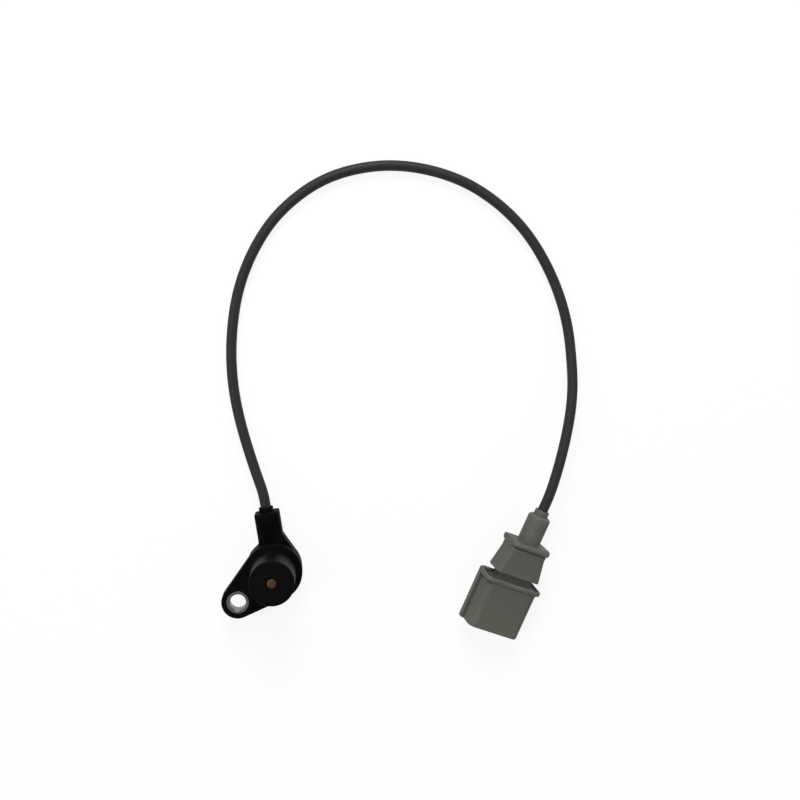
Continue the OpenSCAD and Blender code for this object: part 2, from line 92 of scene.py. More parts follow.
ahead = unit(AIM - EYE)
right = unit(np.cross(ahead, PICTURE_UP))
camera_data = bpy.data.cameras.new("photo_camera")
camera_data.lens = LENS_MM
camera_data.sensor_width = SENSOR_MM
camera_data.clip_start = 10 * MM
camera = bpy.data.objects.new("photo_camera", camera_data)
camera_axes = np.stack([right, np.cross(right, ahead), -ahead], axis=1)
camera.matrix_world = Matrix.Translation(EYE.tolist()) @ Matrix(camera_axes.tolist()).to_4x4()
bpy.context.scene.collection.objects.link(camera)
bpy.context.scene.camera = camera
print("camera", round(float(np.linalg.norm(AIM - EYE)) / MM), "mm from its aim")

# %% [markdown]
# ## Two places to build in
# The head stands on the frame's own axis, with its outlet turned away from +Y. The plug lies tilted
# on one long edge. It is easier to shape each of them in a frame of its own, in millimetres, and to
# carry the finished points over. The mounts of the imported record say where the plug's frame lies.

# %% Places
OUTLET_TURN = np.radians(32.0)


def at_head(points):
    """Head's own frame in mm, outlet along +Y, to the part's frame in metres: a turn about Z."""
    c, s = np.cos(OUTLET_TURN), np.sin(OUTLET_TURN)
    return points @ np.array([[c, s, 0.0], [-s, c, 0.0], [0.0, 0.0, 1.0]]) * MM


plug_along = -unit(np.array(mounts["plug_socket"]["axis"]))
groove_axis = np.array(mounts["bracket_groove"]["axis"])
plug_out = unit(groove_axis - plug_along * (groove_axis @ plug_along))
plug_axes = np.stack([np.cross(plug_along, plug_out), plug_along, plug_out])


def at_plug(points):
    """Plug's own frame in mm, Y from its open end to the lead and Z out of its front, to metres:
    each point is the sum of its three distances along the plug's axes, from the socket's mouth."""
    return points @ plug_axes * MM + np.array(mounts["plug_socket"]["pos_m"])


print("plug rolled by", round(float(np.degrees(np.arcsin(plug_out[0]))), 1), "degrees")

# %% [markdown]
# ## From a grid of points to a mesh
# Each new surface is worked out as a whole grid: rows run along the piece and columns run round it.
# One helper turns any such grid into a closed mesh, so no piece needs faces written by hand. It
# measures the volume with the divergence theorem and turns the faces round if that is negative.

# %% Mesh from a grid
SHARP_ANGLE = np.radians(38.0)
dressed = {}


def grid_faces(rows, columns, ring):
    """Corner numbers of the quads of a grid whose columns join up, and of the triangles that close
    its two end rows on one point each. In a ring the last row joins the first, with no end."""
    index = np.arange(rows * columns).reshape(rows, columns)
    index = np.vstack([index, index[:1]]) if ring else index
    near, far = index[:-1], index[1:]
    quads = np.stack([near, np.roll(near, -1, 1), np.roll(far, -1, 1), far], axis=-1).reshape(-1, 4)
    if ring:
        return quads, np.zeros((0, 3), int)
    first, last = index[0], index[-1]
    low_pole = np.full(columns, rows * columns)
    low_fan = np.stack([np.roll(first, -1), first, low_pole], axis=1)
    high_fan = np.stack([last, np.roll(last, -1), low_pole + 1], axis=1)
    return quads, np.vstack([low_fan, high_fan])


def signed_volume(points, quads, fans):
    """Sum over all triangles of the triple product of their corners, divided by six."""
    triangles = np.vstack([quads[:, [0, 1, 2]], quads[:, [0, 2, 3]], fans])
    a, b, c = (points[triangles[:, k]] for k in range(3))
    return np.einsum("ij,ij->", a, np.cross(b, c)) / 6


def grid_mesh(name, grid, ring=False):
    """Closed mesh of a grid of points in metres, with its faces outwards."""
    rows, columns = grid.shape[:2]
    points = grid.reshape(-1, 3)
    if not ring:
        points = np.vstack([points, grid[0].mean(0), grid[-1].mean(0)])
    quads, fans = grid_faces(rows, columns, ring)
    if signed_volume(points - points.mean(0), quads, fans) < 0:
        quads, fans = quads[:, ::-1], fans[:, ::-1]
    mesh = bpy.data.meshes.new(name)
    mesh.from_pydata(points.tolist(), [], quads.tolist() + fans.tolist())
    return mesh


def soften(mesh):
    """Smooth shading, with the edges sharper than SHARP_ANGLE kept crisp."""
    mesh.shade_smooth()
    mesh.set_sharp_from_angle(angle=SHARP_ANGLE)


def dress(name, mesh, node, slot):
    """The softened mesh as a piece that rides on the part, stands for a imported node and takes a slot.
    The slot is noted, so that its finish can be put on when all the finishes are made."""
    soften(mesh)
    piece = bpy.data.objects.new(name, mesh)
    bpy.context.scene.collection.objects.link(piece)
    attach(piece, "root")
    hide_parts(node)
    dressed[piece] = slot
    print(name, len(mesh.polygons), "faces")
    return piece


# %% [markdown]
# ## The lead
# The lead is a fixed length of screened two-core cable. It leaves the head's collar straight, drops
# to the table, lies there in one open loop, and rises to the plug's sleeve, which lies a little above
# the table. A Blender curve with a bevel would draw it, but a swept tube of our own also gets a UV map
# in real lengths, so that the jacket's fine lines can follow it.

# %% The lead's line
LEAD_D = 4.3
LEAD_GRIP = 11.0
LEAD_STRAIGHT = 6.0
HEAD_MOUTH = np.array([0.8, 26.0, -8.0])
PLUG_MOUTH = np.array([0.0, 54.3, 0.0])
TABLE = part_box("sensor_housing")[0].z / MM
# Across, along, and the lift above where it lies flat
LEAD_ROUTE = np.array([
    [-21, 32.5, 2.5], [-28, 40.5, 1.5], [-35, 49, 0.75], [-41.5, 58, 0.25], [-47, 67.5, 0],
    [-51.5, 77.5, 0], [-55, 88, 0], [-57.5, 98.5, 0], [-58.5, 109.5, 0], [-58, 120.5, 0],
    [-56, 131.5, 0], [-52, 141.5, 0], [-46.5, 151, 0], [-39.5, 159, 0], [-30.5, 166, 0],
    [-20.5, 171.5, 0], [-10, 175, 0], [0.5, 177, 0], [11.5, 177.5, 0], [22.5, 176, 0],
    [33, 173, 0], [43, 168.5, 0], [52, 162.5, 0], [60.5, 155.5, 0], [68, 147.5, 0.4],
    [74.6, 138.5, 1.2], [79.6, 129, 2.5], [84.3, 119, 4.5], [87.4, 109, 6.5],
    [89.5, 98.5, 8.2], [91.1, 87.4, 9.8], [92.2, 76.4, 10.5],
])


def lead_points():
    """The route in metres: three points straight out of the head's collar, the free points, and three
    points straight into the plug's collar."""
    steps = np.array([-LEAD_GRIP, 0.0, LEAD_STRAIGHT])[:, None] * np.array([0.0, 1.0, 0.0])
    free = LEAD_ROUTE + np.array([0.0, 0.0, TABLE + LEAD_D / 2])
    return np.vstack([at_head(HEAD_MOUTH + steps), free * MM, at_plug(PLUG_MOUTH + steps[::-1])])


def spline(points, per_span):
    """Uniform cubic B-spline. Each span blends four neighbouring points with the weights (1-t)^3,
    3t^3-6t^2+4, -3t^3+3t^2+3t+1 and t^3, all over six. A point mirrored beyond each end makes the
    line start and stop on the route's own ends."""
    ends = 2 * points[[0, -1]] - points[[1, -2]]
    p = np.vstack([ends[:1], points, ends[1:]])
    t = np.linspace(0.0, 1.0, per_span, endpoint=False)[:, None]
    weights = np.hstack([(1 - t) ** 3, 3 * t**3 - 6 * t**2 + 4, -3 * t**3 + 3 * t**2 + 3 * t + 1, t**3]) / 6
    spans = np.stack([p[:-3], p[1:-2], p[2:-1], p[3:]], axis=1)
    return np.vstack([(weights @ spans).reshape(-1, 3), points[-1:]])


lead_line = spline(lead_points(), per_span=8)
lead_steps = np.linalg.norm(np.diff(lead_line, axis=0), axis=1)

# %% The lead's jacket
LEAD_SIDES = 40


def swept_tube(line, radius, sides):
    """A circle carried along the line. The heading is the difference of a point's neighbours, the side
    is heading x up, and each ring is radius (cos a side + sin a lift)."""
    heading = unit(np.gradient(line, axis=0))
    side = unit(np.cross(heading, [0.0, 0.0, 1.0]))
    lift = np.cross(side, heading)
    a = np.linspace(0.0, 2 * np.pi, sides, endpoint=False)[None, :, None]
    return line[:, None] + radius * (np.cos(a) * side[:, None] + np.sin(a) * lift[:, None])


def length_uv(mesh, along, columns, girth):
    """UV map in metres: U is the distance along the line, V the distance round the ring. A corner of
    column 0 in a face that closes the ring takes the full girth."""
    corners = np.empty(len(mesh.loops), int)
    mesh.loops.foreach_get("vertex_index", corners)
    starts = np.empty(len(mesh.polygons), int)
    mesh.polygons.foreach_get("loop_start", starts)
    face = np.searchsorted(starts, np.arange(len(corners)), side="right") - 1
    column = corners % columns
    closes = np.zeros(len(starts), bool)
    np.logical_or.at(closes, face, column == columns - 1)
    around = np.where(closes[face] & (column == 0), columns, column) / columns * girth
    row = np.minimum(corners // columns, len(along) - 1)
    layer = mesh.uv_layers.new(name="lengths")
    layer.data.foreach_set("uv", np.stack([along[row], around], 1).astype(np.float32).ravel())


lead_radius = LEAD_D / 2 * MM
lead_mesh = grid_mesh("lead_jacket", swept_tube(lead_line, lead_radius, LEAD_SIDES))
length_uv(lead_mesh, np.concatenate([[0.0], np.cumsum(lead_steps)]), LEAD_SIDES, 2 * np.pi * lead_radius)
lead_jacket = dress("lead_jacket", lead_mesh, "lead", "lead_jacket")

# %% [markdown]
# ## The head's moulding
# The head is one piece of glass-filled plastic: a flange with an ear, a body, an outlet for the lead
# with a web beside it, and the nose. Blocks could be joined by booleans, and the joints would then be
# full of slivers. Seen from the nose's axis, though, every part of the head is reached by a straight
# ray once. So the whole skin is one function: at each angle and height, the largest reach of its
# parts. Rounded edges come from a quarter circle that draws a part in near its ends.

# %% Reaches of simple outlines
TINY = 1e-9


def quarter_round(distance, radius):
    """How far a rounded edge stands in at a distance from its end: the radius less the height of a
    quarter circle there, and nothing further in than the radius."""
    inside = np.clip(radius - distance, 0.0, radius)
    return radius - np.sqrt(radius**2 - inside**2)


def disc_reach(angle, middle, radius, far=1):
    """Distance along a ray from the axis to a circle: the middle's share along the ray, plus or minus
    half the chord that the ray cuts, or nothing where it misses."""
    along = middle[0] * np.cos(angle) + middle[1] * np.sin(angle)
    chord = radius**2 - (middle[0] ** 2 + middle[1] ** 2 - along**2)
    return np.where(chord > 0, along + far * np.sqrt(np.maximum(chord, 0.0)), 0.0)


def bar_reach(angle, left, right, end, corner):
    """Distance along a ray to the side or the end of a bar along +Y, whichever comes first, or to the
    arc that rounds the corner between them."""
    c, s = np.cos(angle), np.maximum(np.sin(angle), TINY)
    side = np.where(c > 0, right, left)
    reach = np.minimum(end / s, side / np.where(np.abs(c) < TINY, TINY, c))
    x, y = reach * c, reach * s
    middle = np.where(c > 0, right - corner, left + corner), end - corner
    turns = (y > middle[1]) & (np.where(c > 0, x - middle[0], middle[0] - x) > 0)
    reach = np.where(turns, disc_reach(angle, middle, corner), reach)
    return np.where(np.sin(angle) > 0, reach, 0.0)


# %% Parts of the head
hole = np.array(mounts["fixing_hole"]["pos_m"][:2]) / MM
HOLE_PITCH = float(np.linalg.norm(hole))
HOLE_ANGLE = float(np.arctan2(hole[1], hole[0]) - OUTLET_TURN)
FLANGE_R, FLANGE_T, EAR_R = 11.7, 6.0, 6.7
FLANGE_FRONT_EDGE, FLANGE_BACK_EDGE = 0.4, 0.3
BODY_R, BODY_EDGE, BODY_OVERLAP = 11.5, 0.8, 0.5
OUTLET_LEFT, OUTLET_RIGHT, OUTLET_END, OUTLET_TOP = -4.3, 5.9, 24.0, -3.0
OUTLET_ROUND, OUTLET_CORNER, OUTLET_END_EDGE = 2.6, 0.8, 0.5
WEB_ANGLE, WEB_TOP = np.radians(26.0), -4.6
CORNER_R = 3.0
COLLAR_R, COLLAR_CORNER, COLLAR_LEAST = 2.95, 0.05, 0.3
# A ray's lean in radians is held short of a right angle
STEEPEST = 1.5
NOSE_R = mounts["nose"]["dims"]["r_mm"]
NOSE_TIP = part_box("sensor_housing")[1].z / MM
NOSE_EDGE, NOSE_FOOT = 0.9, 0.5
GROOVE_R, GROOVE_LOW, GROOVE_TOP = 7.2, 1.6, 4.0


def between(height, low, high):
    """One inside a span of heights and nought outside it."""
    return (height >= low) & (height <= high)


def flange_reach(angle, height):
    """Round seat and ear wrapped by one outline: the big arc, a tangent line, then the ear's arc."""
    inset = quarter_round(-height, FLANGE_FRONT_EDGE) + quarter_round(height + FLANGE_T, FLANGE_BACK_EDGE)
    big, small = FLANGE_R - inset, EAR_R - inset
    turn = np.abs((angle - HOLE_ANGLE + np.pi) % (2 * np.pi) - np.pi)
    tangent = np.arccos((FLANGE_R - EAR_R) / HOLE_PITCH)
    lean = np.clip(tangent - turn, 0.0, STEEPEST)
    line = big / np.cos(lean)
    run = line * np.sin(lean)
    ear = disc_reach(turn, (HOLE_PITCH, 0.0), small)
    reach = np.where(turn >= tangent, big, np.where(run <= HOLE_PITCH * np.sin(tangent), line, ear))
    return reach * between(height, -FLANGE_T, 0.0)


def body_reach(angle, height):
    """Round body behind the flange, its back edge rounded."""
    reach = BODY_R - quarter_round(height - TABLE, BODY_EDGE)
    return reach * (height < BODY_OVERLAP - FLANGE_T) + 0 * angle


def outlet_reach(angle, height):
    """Bar for the lead with its long edges rounded, more at the front than at the back."""
    rise, drop = height - TABLE, OUTLET_TOP - height
    inset = quarter_round(rise, BODY_EDGE) + quarter_round(drop, OUTLET_ROUND)
    end = OUTLET_END - quarter_round(rise, OUTLET_END_EDGE) - quarter_round(drop, OUTLET_END_EDGE)
    reach = bar_reach(angle, OUTLET_LEFT + inset, OUTLET_RIGHT - inset, end, OUTLET_CORNER)
    return reach * between(height, TABLE, OUTLET_TOP)


def web_reach(angle, height):
    """Straight web: a line tangent to the body, as far as the outlet's side."""
    reach = BODY_R / np.cos(np.clip(angle - WEB_ANGLE, 0.0, STEEPEST))
    valid = (angle >= WEB_ANGLE) & (reach * np.cos(angle) >= OUTLET_RIGHT) & (angle < np.pi / 2)
    return reach * valid * between(height, TABLE + BODY_EDGE, WEB_TOP)


def corner_reach(angle, height):
    """Hollow corner: the near side of a circle that touches both the body and the outlet."""
    x = OUTLET_LEFT - CORNER_R
    y = np.sqrt((BODY_R + CORNER_R) ** 2 - x**2)
    valid = (angle >= np.arctan2(y, OUTLET_LEFT)) & (angle <= np.arctan2(y, x))
    return disc_reach(angle, (x, y), CORNER_R, far=-1) * valid * between(height, TABLE + BODY_EDGE, WEB_TOP)


def collar_reach(angle, height):
    """Round collar along the lead: at each height a bar as wide as its circle's chord there."""
    half = np.sqrt(np.maximum(COLLAR_R**2 - (height - HEAD_MOUTH[2]) ** 2, 0.0))
    left, right = HEAD_MOUTH[0] - half, HEAD_MOUTH[0] + half
    return bar_reach(angle, left, right, HEAD_MOUTH[1], COLLAR_CORNER) * (half > COLLAR_LEAST)


def nose_reach(angle, height):
    """Nose with a hollow foot, a groove for the sealing ring and a rounded tip."""
    reach = NOSE_R + quarter_round(height, NOSE_FOOT) - quarter_round(NOSE_TIP - height, NOSE_EDGE)
    reach = np.where(between(height, GROOVE_LOW, GROOVE_TOP), GROOVE_R, reach)
    return reach * (height > 0.0) + 0 * angle


# %% The head's skin
STEP = 0.02
PIN_R, PIN_RING, PIN_RECESS, PIN_GAP, PIN_HOLE_END = 2.0, 0.5, 0.2, 0.03, 15.0
TIP_EDGE = 0.1


def rising_edge(end, radius, count):
    """Heights that follow a rounded edge up to its end in equal turns of its quarter circle."""
    return end - radius + radius * np.sin(np.linspace(0.0, np.pi / 2, count))


def falling_edge(start, radius, count):
    """Heights that follow a rounded edge up from its start in equal turns of its quarter circle."""
    return start + radius - radius * np.cos(np.linspace(0.0, np.pi / 2, count))


# The rows crowd where an edge turns, and a pair of rows one step apart makes each sharp ledge
heights = np.unique(np.round(np.concatenate([
    falling_edge(TABLE, BODY_EDGE, 7), np.linspace(TABLE + 1, -FLANGE_T - STEP, 26),
    falling_edge(-FLANGE_T, FLANGE_BACK_EDGE, 4), [WEB_TOP, WEB_TOP + STEP],
    rising_edge(OUTLET_TOP, OUTLET_ROUND, 14), [OUTLET_TOP + STEP, OUTLET_TOP / 2],
    rising_edge(0.0, FLANGE_FRONT_EDGE, 6), falling_edge(0.0, NOSE_FOOT, 6) + STEP,
    [GROOVE_LOW - STEP, GROOVE_LOW, GROOVE_TOP, GROOVE_TOP + STEP],
    np.linspace(GROOVE_TOP + 2, NOSE_TIP - NOSE_EDGE - 1, 5), rising_edge(NOSE_TIP, NOSE_EDGE, 9),
]), 4))[:, None]
outlet_turns = np.radians(np.linspace(73.0, 103.0, 110))
even_turns = np.linspace(0.0, 2 * np.pi, 540, endpoint=False)
angles = np.unique(np.concatenate([even_turns, outlet_turns]))[None, :]
head_parts = [flange_reach, body_reach, outlet_reach, web_reach, corner_reach, collar_reach, nose_reach]
reach = np.maximum.reduce([part(angles, heights) for part in head_parts])
ring_r, pin_hole_r = PIN_R + PIN_RING, PIN_R + PIN_GAP
recess_floor = NOSE_TIP - PIN_RECESS
tip_rows = np.array([
    [ring_r + TIP_EDGE, NOSE_TIP], [ring_r, NOSE_TIP - TIP_EDGE], [ring_r, recess_floor],
    [pin_hole_r, recess_floor], [pin_hole_r, PIN_HOLE_END],
])
reach = np.vstack([reach, np.repeat(tip_rows[:, :1], angles.size, axis=1)])
heights = np.vstack([heights, tip_rows[:, 1:]])
head_grid = np.stack([reach * np.cos(angles), reach * np.sin(angles), heights + 0 * angles], axis=-1)
head_mesh = grid_mesh("head_moulding", at_head(head_grid))
print("head grid", head_grid.shape[:2])

# %% [markdown]
# The ear's hole and the bore that the lead lies in can't be part of that function, since a ray passes
# them twice. They are cut away with Blender's exact boolean, which is safe here because two plain tubes
# meet clean faces.

# %% Hole and bore
BUSH_OD = 9.0
SKIN_GAP = 0.02
PAST_FACE = 1.0


def turned(profile, columns=96):
    """A profile of radius and height carried round the Z axis: x = r cos a, y = r sin a."""
    a = np.linspace(0.0, 2 * np.pi, columns, endpoint=False)
    r, z = profile[:, :1], profile[:, 1:]
    return np.stack([r * np.cos(a), r * np.sin(a), z + 0 * a], axis=-1)


def to_hole(grid):
    """A shape turned about Z, moved to the fixing hole of the head's own frame."""
    return grid + HOLE_PITCH * np.array([np.cos(HOLE_ANGLE), np.sin(HOLE_ANGLE), 0.0])


def cut_away(mesh, cutters):
    """The mesh less each cutter, by Blender's exact boolean."""
    solid = bpy.data.objects.new("solid", mesh)
    tools = [bpy.data.objects.new("cutter", cutter) for cutter in cutters]
    for thing in [solid, *tools]:
        bpy.context.scene.collection.objects.link(thing)
    for tool in tools:
        cut = solid.modifiers.new("cut", "BOOLEAN")
        cut.operation, cut.solver, cut.object = "DIFFERENCE", "EXACT", tool
    graph = bpy.context.evaluated_depsgraph_get()
    result = bpy.data.meshes.new_from_object(solid.evaluated_get(graph))
    for thing in [solid, *tools]:
        bpy.data.objects.remove(thing)
    result.name = mesh.name
    return result


hole_r, bore_r = BUSH_OD / 2 + SKIN_GAP, LEAD_D / 2 + SKIN_GAP
hole_profile = np.array([[hole_r, -FLANGE_T - PAST_FACE], [hole_r, PAST_FACE]])
bore_profile = np.array([[bore_r, HEAD_MOUTH[1] - LEAD_GRIP], [bore_r, HEAD_MOUTH[1] + PAST_FACE]])
bore_grid = turned(bore_profile, 48)[..., [0, 2, 1]] + HEAD_MOUTH * [1, 0, 1]
head_mesh = cut_away(head_mesh, [
    grid_mesh("hole", at_head(to_hole(turned(hole_profile)))), grid_mesh("bore", at_head(bore_grid)),
])
head_moulding = dress("head_moulding", head_mesh, "sensor_housing", "housing_black")

# %% [markdown]
# ## The turned pieces of the head
# The bush, the pole pin and the sealing ring are all round, so each is a profile carried round its
# axis. Real edges are never knife-sharp: the corners of the bush's profile become short curves, the
# pin's crown is a low dome with a centre mark, and the ring's bead carries the line of its mould.

# %% Bush, pole pin and sealing ring
BUSH_BORE_R = mounts["fixing_hole"]["dims"]["r_mm"]
BUSH_CHAMFER, BUSH_EDGE = 0.3, 0.12
PIN_DROP, PIN_MARK, PIN_MARK_R, CROWN_START = 0.35, 0.12, 0.3, 0.02
RING_CORD, RING_PROUD = 2.2, 0.4
FLASH_H, FLASH_W = 0.03, 0.15


def eased(corners, radius, steps=5):
    """Each corner of a closed outline becomes a quadratic curve (1-t)^2 a + 2t(1-t) corner + t^2 b
    between the points a and b that lie a radius away from it on its two sides."""
    corners = np.asarray(corners, float)
    a = corners + radius * unit(np.roll(corners, 1, 0) - corners)
    b = corners + radius * unit(np.roll(corners, -1, 0) - corners)
    t = np.linspace(0.0, 1.0, steps)[:, None]
    curves = (1 - t) ** 2 * a[:, None] + 2 * t * (1 - t) * corners[:, None] + t**2 * b[:, None]
    return curves.reshape(-1, 2)


mouth_r = BUSH_BORE_R + BUSH_CHAMFER
bush_profile = eased([
    [mouth_r, 0.0], [BUSH_OD / 2, 0.0], [BUSH_OD / 2, -FLANGE_T], [mouth_r, -FLANGE_T],
    [BUSH_BORE_R, BUSH_CHAMFER - FLANGE_T], [BUSH_BORE_R, -BUSH_CHAMFER],
], BUSH_EDGE)
bush_mesh = grid_mesh("fixing_bush", at_head(to_hole(turned(bush_profile))), ring=True)
dress("fixing_bush", bush_mesh, "mounting_bush", "bush_metal")

pin_r = np.linspace(CROWN_START, PIN_R, 24)
pin_mark = PIN_MARK * np.exp(-((pin_r / PIN_MARK_R) ** 2))
pin_crown = recess_floor - PIN_DROP * (pin_r / PIN_R) ** 3 - pin_mark
pin_profile = np.vstack([np.stack([pin_r, pin_crown], 1), [[PIN_R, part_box("pole_pin")[0].z / MM]]])
pin_mesh = grid_mesh("pole_tip", at_head(turned(pin_profile, 64)))
dress("pole_tip", pin_mesh, "pole_pin", "pole_bronze")

bead = np.linspace(0.0, 2 * np.pi, 36, endpoint=False)
bead_r = RING_CORD / 2 * (1 + FLASH_H * np.exp(-((np.sin(bead) / FLASH_W) ** 2)))
bead_out, bead_up = NOSE_R + RING_PROUD - RING_CORD / 2, (GROOVE_LOW + GROOVE_TOP) / 2
ring_profile = np.stack([bead_out + bead_r * np.cos(bead), bead_up + bead_r * np.sin(bead)], axis=1)
seal_mesh = grid_mesh("nose_seal", at_head(turned(ring_profile)), ring=True)
dress("nose_seal", seal_mesh, "sealing_ring", "ring_rubber")

# %% [markdown]
# ## The plug's moulding
# The plug is moulded round its contacts in one piece: a shroud with rails, a rim, a groove for a
# bracket, a wedge, a lip and a sleeve for the lead. All of it is a cross-section carried along one
# axis. The outline changes from a railed box to a circle, so each section gets the same number of
# points, shared out between the middles of its corners. The walk starts at the back of the contacts'
# carrier, comes out of the socket, turns round its mouth, and runs up the outside to the lead's bore.

# %% Sections of the plug
SECTION_POINTS, ARC_POINTS = 60, 12
RAIL_T, RAIL_EASE = 2.2, 0.3
CHANNEL_W, CHANNEL_SLOPE = 0.9, 0.25
CATCH_HALF, CATCH_SLOPE = 3.0, 0.15
LEAST_CORNER = 0.15


def arc(middle, radius, start, stop, count=ARC_POINTS):
    """Points of a circular arc between two angles in degrees."""
    a = np.radians(np.linspace(start, stop, count))
    return np.stack([middle[0] + radius * np.cos(a), middle[1] + radius * np.sin(a)], 1)


def half_section(half, low, high, front, back, rail_half=0.0, channel=0.0, catch=0.0):
    """Right half of a section from the middle of its back to the middle of its front: the back with
    its catch, the back corner, the rail with the channel beside it, the front corner and the front."""
    outer = max(half, rail_half)
    ease = min(RAIL_EASE, (outer - half) / 2)
    step = low + RAIL_T
    floor = half - channel
    back_corner = arc((outer - back, low + back), back, -90, 0)
    front_corner = arc((half - front, high - front), front, 0, 90)
    back_side = [[0.0, low - catch]]
    if catch:
        back_side += [[CATCH_HALF - CATCH_SLOPE, low - catch], [CATCH_HALF, low]]
    rail_top = np.zeros((0, 2))
    if rail_half:
        rail_edge = arc((outer - ease, step - ease), ease, 0, 90, 5)
        channel_end = step + CHANNEL_W
        channel_side = [[floor, step], [floor, channel_end], [half, channel_end + CHANNEL_SLOPE]]
        rail_top = np.vstack([rail_edge, channel_side])
    points = np.vstack([back_side, back_corner, rail_top, front_corner, [[0.0, high]]])
    marks = len(back_side) + ARC_POINTS // 2, len(points) - 1 - ARC_POINTS // 2
    return points, marks


def section(**sizes):
    """The whole outline. The right half is shared out evenly by length between its start, the middles
    of its two corners and its end; the left half is its mirror image."""
    points, marks = half_section(**sizes)
    length = np.concatenate([[0.0], np.cumsum(np.linalg.norm(np.diff(points, axis=0), axis=1))])
    knots = length[[0, *marks, len(points) - 1]]
    shares = np.linspace(0.0, 1.0, SECTION_POINTS, endpoint=False)
    places = np.concatenate([a + (b - a) * shares for a, b in zip(knots[:-1], knots[1:])] + [knots[-1:]])
    right = np.stack([np.interp(places, length, points[:, k]) for k in range(2)], axis=1)
    return np.vstack([right, right[-2:0:-1] * [-1, 1]])


def ring_row(y, shape, inset=0.0):
    """One row of the skin: a section at y along the plug, drawn in all round by the inset."""
    sizes = dict(shape(y) if callable(shape) else shape)
    for name in ("half", "high"):
        sizes[name] -= inset
    sizes["low"] += inset
    for name in ("front", "back"):
        sizes[name] = max(sizes[name] - inset, LEAST_CORNER)
    if "rail_half" in sizes:
        sizes["rail_half"] -= inset
    outline = section(**sizes)
    return np.stack([outline[:, 0], np.full(len(outline), y), outline[:, 1]], axis=1)


def edge_rows(shape, middle, radius, start, stop, count=6, hollow=False):
    """Rows round an edge: y follows the sine and the inset one less the cosine of the turn, about the
    middle of the edge's circle. A hollow edge stands out instead of in."""
    turns = np.radians(np.linspace(start, stop, count))
    sign = -1 if hollow else 1
    return [ring_row(middle + radius * np.sin(t), shape, sign * radius * (1 - np.cos(t))) for t in turns]


# %% Stations along the plug
RAIL_HALF = 12.9
BACK = -5.8
SHROUD = dict(half=11.75, low=BACK, high=5.4, front=3.0, back=0.6, rail_half=RAIL_HALF, channel=0.6)
SOCKET = dict(half=9.8, low=-4.3, high=3.9, front=1.5, back=0.75)
CARRIER = dict(half=8.04, low=-3.04, high=3.04, front=1.4, back=1.4)
NECK = dict(half=8.0, low=-3.5, high=3.5, front=1.4, back=1.4)
LIP = dict(half=8.75, low=-6.6, high=6.6, front=2.0, back=0.9)
SOCKET_DEPTH, CARRIER_BACK = 15.0, 20.0
RIM_Y, RIM_T, RIM_HIGH, RIM_FOOT = 20.6, 1.8, 6.0, 0.6
FOOT_R, RIM_LOWER, RIM_EDGE, RIM_DISH, RIM_RISE = 0.7, 0.5, 0.35, 0.35, 1.0
RIM_CORNER_LEAST, RIM_CORNER_RUN = 0.4, 3.0
CHANNEL_STOP, CHANNEL_FLUSH = 1.3, 0.75
GROOVE_W, WEDGE_Y, LIP_Y, LIP_T = 3.1, 25.5, 37.5, 2.6
WEDGE_HALF, WEDGE_TAPER, WEDGE_DEPTH, WEDGE_MIDDLE, WEDGE_STOP = 10.15, 2.35, 5.3, 30.0, 0.35
SWEEP, SWEEP_OUT, DIP, DIP_START, DIP_RUN, LIP_SIDE = 3.0, 0.7, 0.35, 1.0, 0.6, 0.15
SLEEVE_R, SLEEVE_END, SLEEVE_FOOT = 4.75, 52.3, 1.0
SLEEVE_BEVEL, SLEEVE_BEVEL_IN, SLEEVE_LAST = 1.0, 0.85, 0.05
COLLAR_OUT_R, COLLAR_END, BORE_EDGE = 3.0, 54.7, 0.1
CATCH_START, CATCH_FIRST, CATCH_TOP, CATCH_END, CATCH_H, CATCH_DROP = 5.0, 0.7, 9.9, 12.0, 2.0, 0.1
SMALL_EDGE, INNER_EDGE, OUTER_EDGE = 0.3, 0.4, 0.5


def round_bar(radius):
    """A section that is a circle."""
    return dict(half=radius, low=-radius, high=radius, front=radius, back=radius)


def wedge(y):
    """The wedge narrows evenly from the groove to the lip. Close to the lip its sides sweep out as a
    parabola, and its front and back dip a little under the lip."""
    share = (y - WEDGE_Y) / (LIP_Y - WEDGE_Y)
    sweep = max(y - LIP_Y + SWEEP, 0.0) / SWEEP
    dip = DIP * min(max(y - LIP_Y + DIP_START, 0.0) / DIP_RUN, 1.0)
    half = WEDGE_HALF - WEDGE_TAPER * share + SWEEP_OUT * sweep**2
    return dict(half=half, low=dip - WEDGE_DEPTH, high=WEDGE_DEPTH - dip, front=1.6, back=1.0)


def lip_rows():
    """The lip's edge is a round bead on the front and back, and nearly square at the sides, where only
    a share of the inset is taken."""
    turns = np.radians(np.linspace(-60, 90, 14))
    inset = LIP_T / 2 * (1 - np.cos(turns))
    places = LIP_Y + LIP_T / 2 * (1 + np.sin(turns))
    rows = []
    for y, d in zip(places, inset):
        drawn_in = dict(half=LIP["half"] - LIP_SIDE * d, low=LIP["low"] + d, high=LIP["high"] - d)
        rows.append(ring_row(y, {**LIP, **drawn_in}))
    return rows


